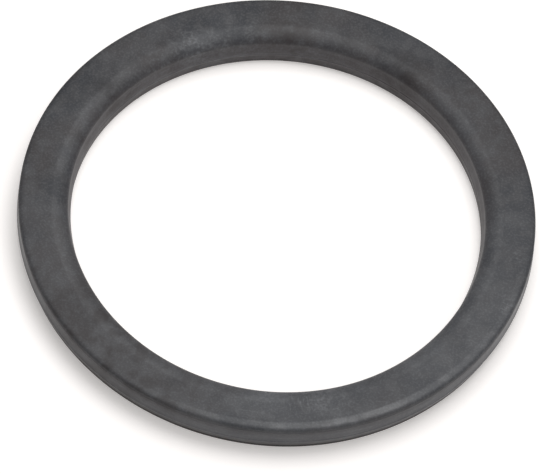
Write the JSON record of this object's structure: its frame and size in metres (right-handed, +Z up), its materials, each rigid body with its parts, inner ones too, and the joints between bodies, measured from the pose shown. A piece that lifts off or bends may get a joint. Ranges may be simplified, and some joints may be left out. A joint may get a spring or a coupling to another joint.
{
  "type": "rubber sealing ring",
  "caption": "Flat moulded rubber sealing ring for a waste outlet, with a round-shouldered flat top, a slight waist and bead outside and a lip into the hole.",
  "frame": {"origin": "centre of the ring, on the plane of its flat foot", "axes": "+Z up along the ring's own axis, from the foot to the flat top; X and Y are any two directions across the ring"},
  "size_m": [0.11, 0.11, 0.0076],
  "materials": {
    "rubber": "matte black moulded rubber with a faint grey bloom"
  },
  "bodies": {
    "root": {"seal_ring": "rubber"}
  },
  "joints": []
}
